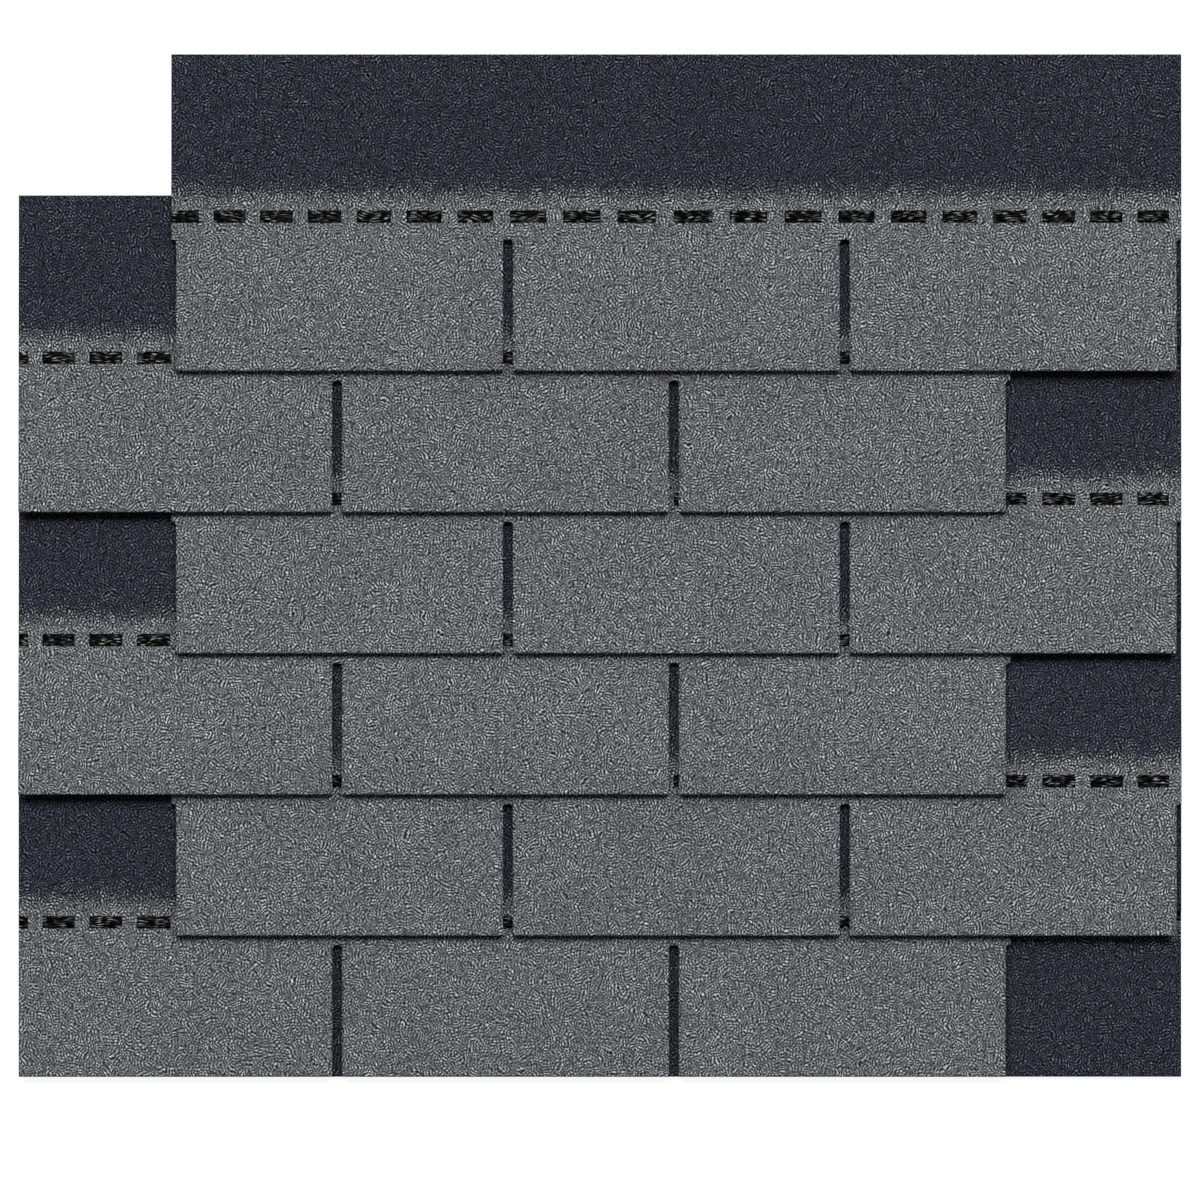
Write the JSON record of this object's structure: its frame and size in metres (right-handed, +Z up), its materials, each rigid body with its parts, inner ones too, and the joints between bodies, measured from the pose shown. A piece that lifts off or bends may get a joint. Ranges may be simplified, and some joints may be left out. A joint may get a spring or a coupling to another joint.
{
  "type": "lapped asphalt shingle stack",
  "caption": "Free stack of tabbed asphalt shingle strips, lapped course over course with staggered slots, dashed self-seal lines and a turned starter strip, for covering a roof slope.",
  "frame": {"origin": "middle of the set's footprint, at the level of the floor it lies on", "axes": "+X along the courses, +Y up the slope from the eave edge, +Z up from the floor"},
  "size_m": [1.151, 1.0126, 0.0138],
  "materials": {
    "granule_face": "matte",
    "sealant": "satin"
  },
  "bodies": {
    "root": {"starter_strip": "granule_face", "course_1_strip": "granule_face", "course_2_strip": "granule_face", "course_3_strip": "granule_face", "course_4_strip": "granule_face", "course_5_strip": "granule_face", "course_6_strip": "granule_face", "course_1_offcut": "granule_face", "course_3_offcut": "granule_face", "course_5_offcut": "granule_face", "starter_sealant": "sealant", "course_1_sealant": "sealant", "course_2_sealant": "sealant", "course_3_sealant": "sealant", "course_4_sealant": "sealant", "course_5_sealant": "sealant", "course_6_sealant": "sealant"}
  },
  "joints": []
}
